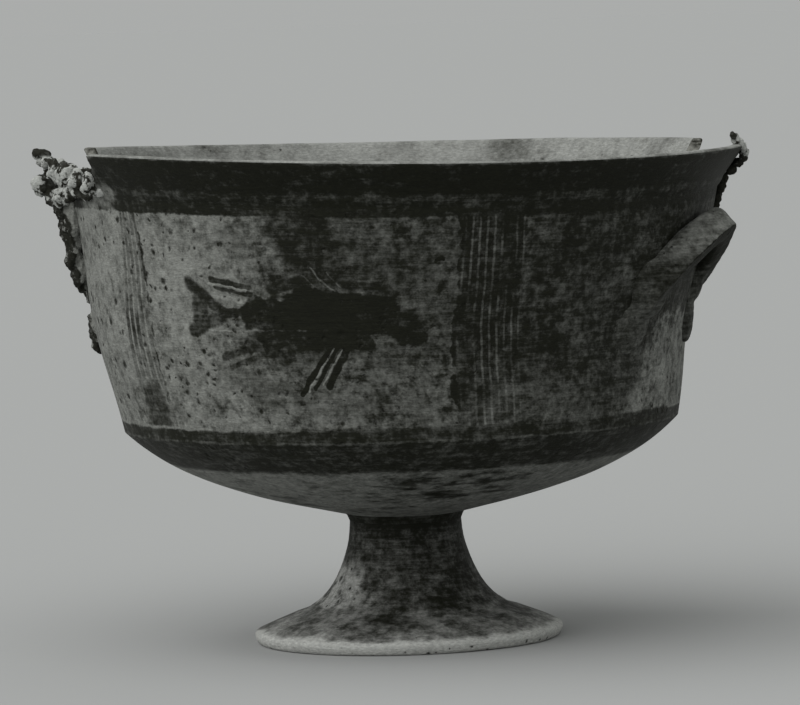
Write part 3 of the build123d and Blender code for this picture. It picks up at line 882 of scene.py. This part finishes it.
# Left crust: pale lime that grew in lumps over the broken lip while the cup lay buried, on a bed
# that follows the break.
left_lumps = [
    ((-47.5, 0.1262, 0.1722), (2.6, 4.0, 2.4)), ((-52, 0.1266, 0.1722), (3.0, 4.4, 2.8)),
    ((-58.5, 0.1262, 0.1772), (3.4, 3.4, 4.0)), ((-62.0, 0.1270, 0.1762), (3.6, 3.4, 4.6)),
    ((-57.5, 0.1268, 0.1716), (3.4, 5.6, 2.4)), ((-64, 0.1276, 0.1700), (4.4, 5.6, 3.4)),
    ((-70, 0.1352, 0.1738), (4.6, 6.0, 3.4)), ((-71.5, 0.1366, 0.1752), (3.0, 4.0, 2.8)),
    ((-69.2, 0.1310, 0.1690), (4.2, 5.4, 3.6)), ((-73, 0.1325, 0.1750), (4.4, 5.0, 3.6)),
    ((-70, 0.1336, 0.1818), (3.6, 5.2, 2.2)), ((-67.0, 0.1322, 0.1832), (2.2, 3.2, 1.2)),
    ((-71.0, 0.1352, 0.1850), (3.0, 4.2, 0.8)), ((-72.5, 0.1318, 0.1790), (2.4, 4.0, 4.2)),
    ((-76.5, 0.1298, 0.1790), (3.4, 5.0, 4.4)), ((-81, 0.1285, 0.1735), (4.6, 6.0, 3.8)),
    ((-86.5, 0.1262, 0.1752), (4.2, 5.6, 4.4)), ((-91.5, 0.1268, 0.1725), (4.0, 5.2, 3.8)),
    ((-42.6, 0.1296, 0.1768), (2.2, 3.8, 3.6)), ((-47, 0.1292, 0.1775), (2.6, 4.6, 4.2)),
    ((-53, 0.1292, 0.1790), (2.8, 4.6, 4.6)), ((-66, 0.1300, 0.1800), (2.6, 4.0, 4.6)),
    ((-79, 0.1240, 0.1725), (4.0, 7.0, 3.0))]
left_bed = [((bearing, 0.1246, 0.1736), (3.3, 7.0, 3.1)) for bearing in range(-93, -40, 5)]


def lumps(places):
    """Eggs, each from (bearing in degrees, radius, height) and its sizes in millimetres."""
    return [blob(around(*place), [size / 1000 for size in sizes],
                 (0, 0, math.radians(place[0] - 90))) for place, sizes in places]


crust = pressed_together("left_crust", lumps(left_lumps + left_bed), 0.0006, 12)
textured(crust, "CLOUDS", 0.0068, 0.0062)
textured(crust, "CLOUDS", 0.0026, 0.0013)


def lime_finish(name, dark_share, clay_below):
    """Pale lime with painted shade in its hollows, and clay showing dark below a height."""
    made, tree, shader, point = finish_of(name, 0.1)
    depth = tree.nodes.new("ShaderNodeNewGeometry").outputs["Pointiness"]
    stained = fade(tree, cloud(tree, point, 95, 4, 0.65), dark_share, dark_share + 0.06)
    # Painted shade: the lime's hollows are darkened, as shade would darken them.
    hollow = fade(tree, depth, 0.51, 0.45)
    split = tree.nodes.new("ShaderNodeSeparateXYZ")
    joined(tree, split.inputs[0], point)
    lime_cover = all_of(tree, [
        times(tree, stained, 0.95), times(tree, hollow, 0.95),
        fade(tree, split.outputs[2], 0.1895, 0.1915, 0.0, 0.9),
        fade(tree, split.outputs[2], clay_below + 0.002, clay_below, 0.0, 1.05)])
    clay = apply_recipe(tree, fired_clay, Point=point, Cover=lime_cover, Wear=0.22, Marks=0.0,
                        Clay=(0.40, 0.41, 0.39, 1), Slip=(0.022, 0.022, 0.017, 1))
    surfaced(tree, shader, clay["Color"], 0.95, cloud(tree, point, 600, 4, 0.7), 0.0009)
    return made


crust.data.materials.append(lime_finish("lime_crust", 0.49, 0.0))
sag(crust)
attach(crust, "root")
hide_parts("left_rim_crust")


# Right crust: a ragged flake of lime that stands up from the lip's right end, over torn clay that
# runs down the break.
flake_lumps = [
    ((99.2, 0.1313, 0.1906), (1.0, 1.0, 1.6)), ((99.9, 0.1323, 0.1886), (1.5, 1.5, 2.4)),
    ((101.0, 0.1335, 0.1870), (1.8, 2.0, 2.2)), ((102.2, 0.1345, 0.1855), (1.5, 1.8, 1.8)),
    ((103.2, 0.1349, 0.1835), (1.8, 2.2, 1.9)), ((104.0, 0.1343, 0.1814), (1.9, 2.6, 1.9)),
    ((105.2, 0.1320, 0.1795), (2.2, 2.8, 2.0)), ((106.4, 0.1292, 0.1768), (2.1, 2.8, 2.3)),
    ((107.5, 0.1259, 0.1736), (2.1, 2.8, 2.4)), ((108.0, 0.1249, 0.1702), (2.3, 2.8, 2.2)),
    ((108.5, 0.1239, 0.1668), (2.0, 2.6, 2.3)), ((109.0, 0.1227, 0.1632), (1.8, 2.6, 2.6))]
flake = pressed_together("right_flake", lumps(flake_lumps), 0.0005, 0)
textured(flake, "CLOUDS", 0.004, 0.0017)
textured(flake, "CLOUDS", 0.0015, 0.001)
flake.data.materials.append(lime_finish("lime_flake", 0.42, 0.1785))
sag(flake)
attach(flake, "root")
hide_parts("right_rim_crust")


# Floor and light. A plain pale floor, a large soft lamp high at the left and the even light of the
# sky, which is seen behind the cup as a plain pale ground.
bpy.ops.mesh.primitive_plane_add(size=900)
floor = bpy.context.object
floor.name = "floor"
floor_finish = bpy.data.materials.new("pale_floor")
floor_finish.use_nodes = True
floor_shader = floor_finish.node_tree.nodes["Principled BSDF"]
floor_shader.inputs["Base Color"].default_value = (0.402, 0.4075, 0.4044, 1)
floor_shader.inputs["Roughness"].default_value = 1.0
floor_shader.inputs["Specular IOR Level"].default_value = 0.0
floor.data.materials.append(floor_finish)
bpy.ops.object.light_add(type="SUN", rotation=(math.radians(40), 0, math.radians(-32)))
lamp = bpy.context.object
lamp.name = "soft_lamp"
lamp.data.energy = 2.15
lamp.data.angle = math.radians(95)
bpy.context.scene.world = bpy.data.worlds.new("studio")
bpy.context.scene.world.use_nodes = True
sky = bpy.context.scene.world.node_tree
seen = sky.nodes.new("ShaderNodeLightPath").outputs["Is Camera Ray"]
sky_light, sky_seen = (0.48, 0.49, 0.48), (0.405, 0.414, 0.407)
joined(sky, sky.nodes["Background"].inputs[0], colours(sky, seen, sky_light, sky_seen))
